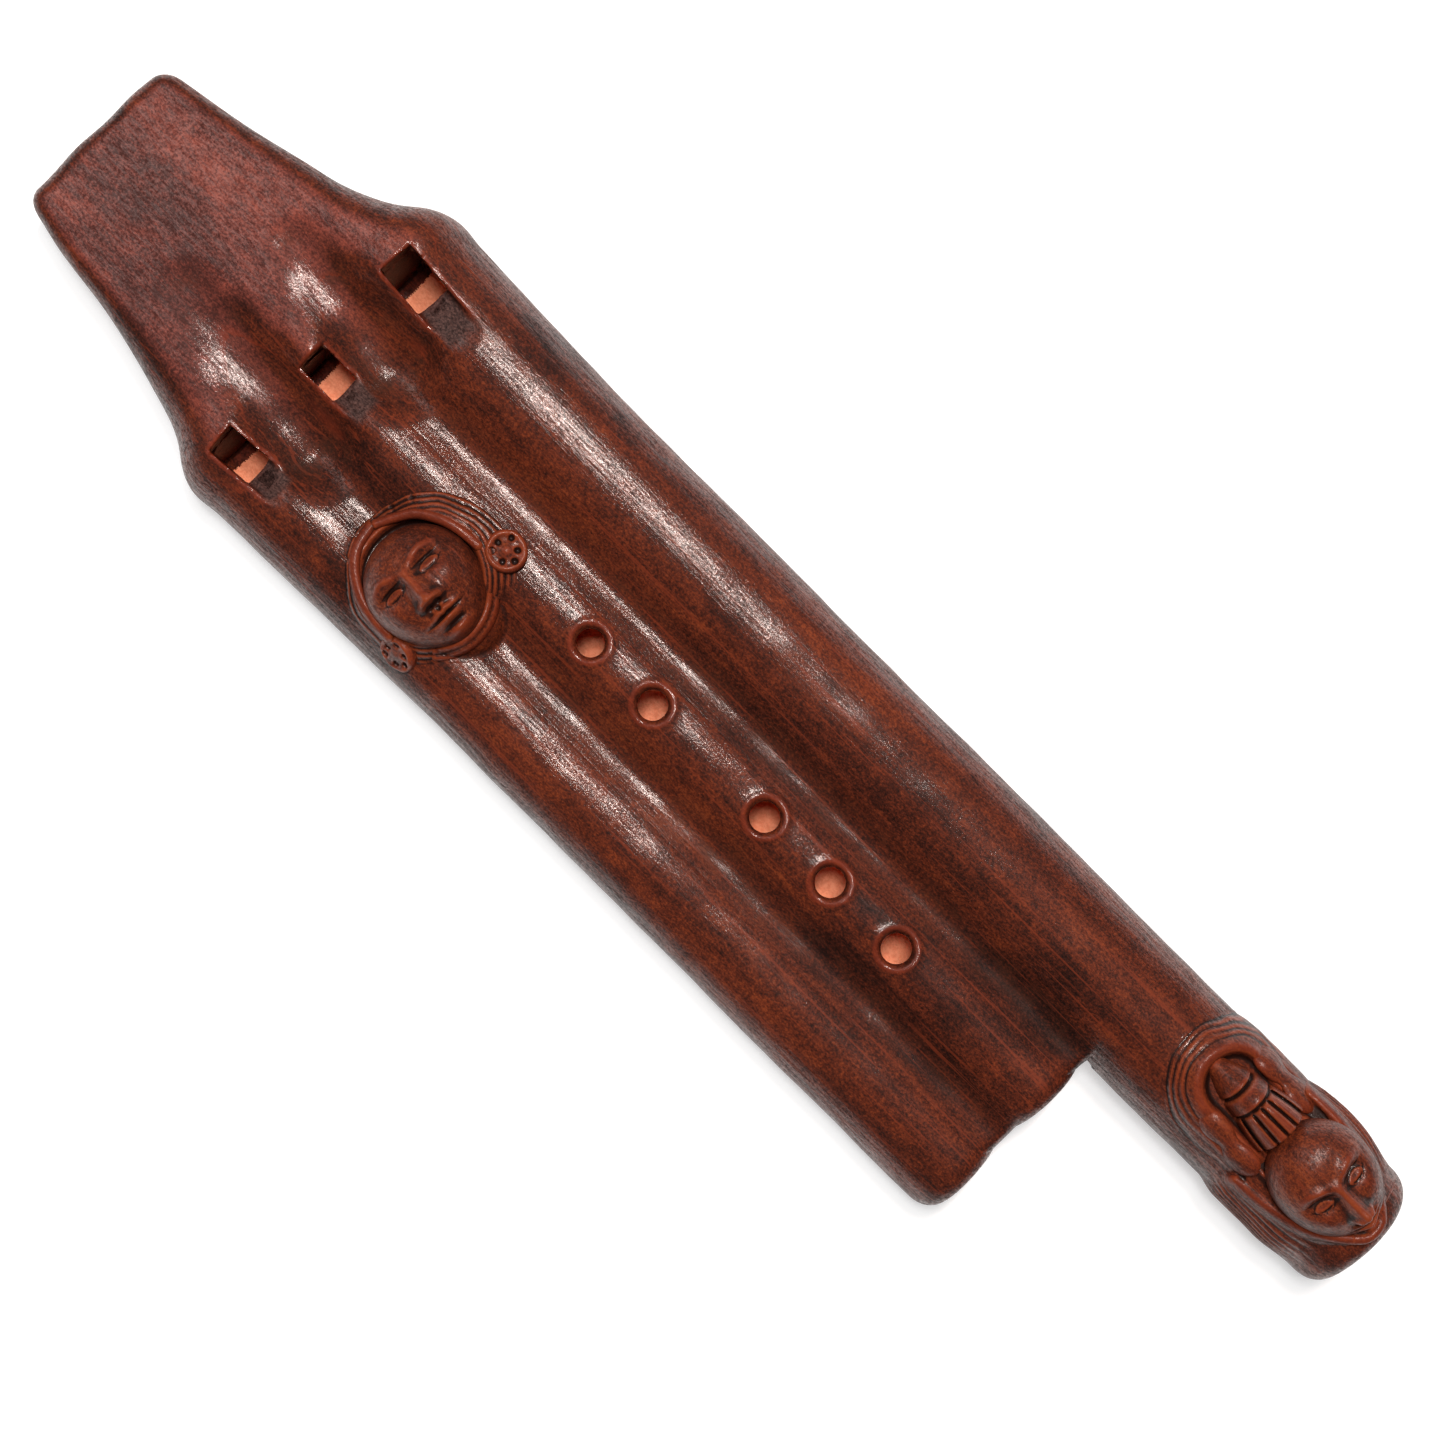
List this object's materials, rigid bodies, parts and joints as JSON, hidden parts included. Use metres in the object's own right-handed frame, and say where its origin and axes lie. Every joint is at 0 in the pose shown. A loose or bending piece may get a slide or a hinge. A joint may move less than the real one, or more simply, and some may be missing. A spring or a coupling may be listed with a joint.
{
  "type": "clay triple duct flute",
  "caption": "Fired clay duct flute: parallel tubes with a shared beak mouthpiece, finger holes on the middle tube and moulded heads on top.",
  "frame": {"origin": "middle of the flute's outline in plan, on the surface that its back lies on", "axes": "+Y from the beak's mouth end to the open tube ends, +Z out of the side with the finger holes, +X to the right as seen by a viewer above with the tube ends pointing away"},
  "size_m": [0.0837, 0.3684, 0.0419],
  "materials": {
    "clay_body": "satin",
    "beak_clay": "satin",
    "moulded_heads": "satin"
  },
  "bodies": {
    "root": {"left_drone_tube": "clay_body", "melody_tube": "clay_body", "right_drone_tube": "clay_body", "front_left_web": "clay_body", "front_right_web": "clay_body", "back_left_web": "clay_body", "back_right_web": "clay_body", "beak_floor": "beak_clay", "beak_roof": "beak_clay", "mask_face": "moulded_heads", "mask_hair": "moulded_heads", "mask_hair_band": "moulded_heads", "mask_collar": "moulded_heads", "mask_left_ear_spool": "moulded_heads", "mask_right_ear_spool": "moulded_heads", "figure_face": "moulded_heads", "figure_hair": "moulded_heads", "figure_forelock": "moulded_heads", "figure_left_cloth_fold": "moulded_heads", "figure_right_cloth_fold": "moulded_heads", "figure_collar": "moulded_heads", "figure_left_hair_roll": "moulded_heads", "figure_right_hair_roll": "moulded_heads"}
  },
  "joints": []
}
